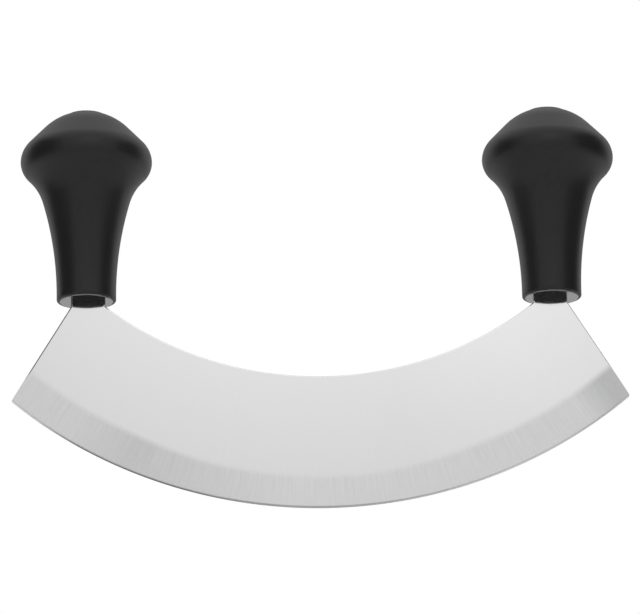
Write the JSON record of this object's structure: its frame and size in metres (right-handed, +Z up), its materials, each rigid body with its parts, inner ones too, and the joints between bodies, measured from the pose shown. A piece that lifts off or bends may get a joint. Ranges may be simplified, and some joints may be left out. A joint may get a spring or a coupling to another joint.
{
  "type": "mezzaluna",
  "caption": "Rocking knife with a crescent steel blade, a ground cutting edge and upright black mushroom grips seated on steel bolsters.",
  "frame": {"origin": "lowest point of the cutting edge, midway between the grips: the bottom centre of the bounding box", "axes": "+Z up the grips from edge to crown, X along the chord of the blade, Y through the blade's thickness"},
  "size_m": [0.2394, 0.0516, 0.1604],
  "materials": {
    "blade_steel": "satin ground, finer on the bevel",
    "bolster_steel": "polished stainless",
    "rod_steel": "turned",
    "zinc_steel": "bright zinc plate",
    "grip_plastic": "satin moulded",
    "plug_plastic": "satin moulded"
  },
  "bodies": {
    "root": {"blade": "blade_steel", "bolster_left": "bolster_steel", "bolster_right": "bolster_steel", "tang_rod_left": "rod_steel", "tang_rod_right": "rod_steel", "grip_left": "grip_plastic", "grip_right": "grip_plastic", "washer_left": "zinc_steel", "washer_right": "zinc_steel", "spring_washer_left": "zinc_steel", "spring_washer_right": "zinc_steel", "nut_left": "zinc_steel", "nut_right": "zinc_steel", "crown_plug_left": "plug_plastic", "crown_plug_right": "plug_plastic"}
  },
  "joints": []
}
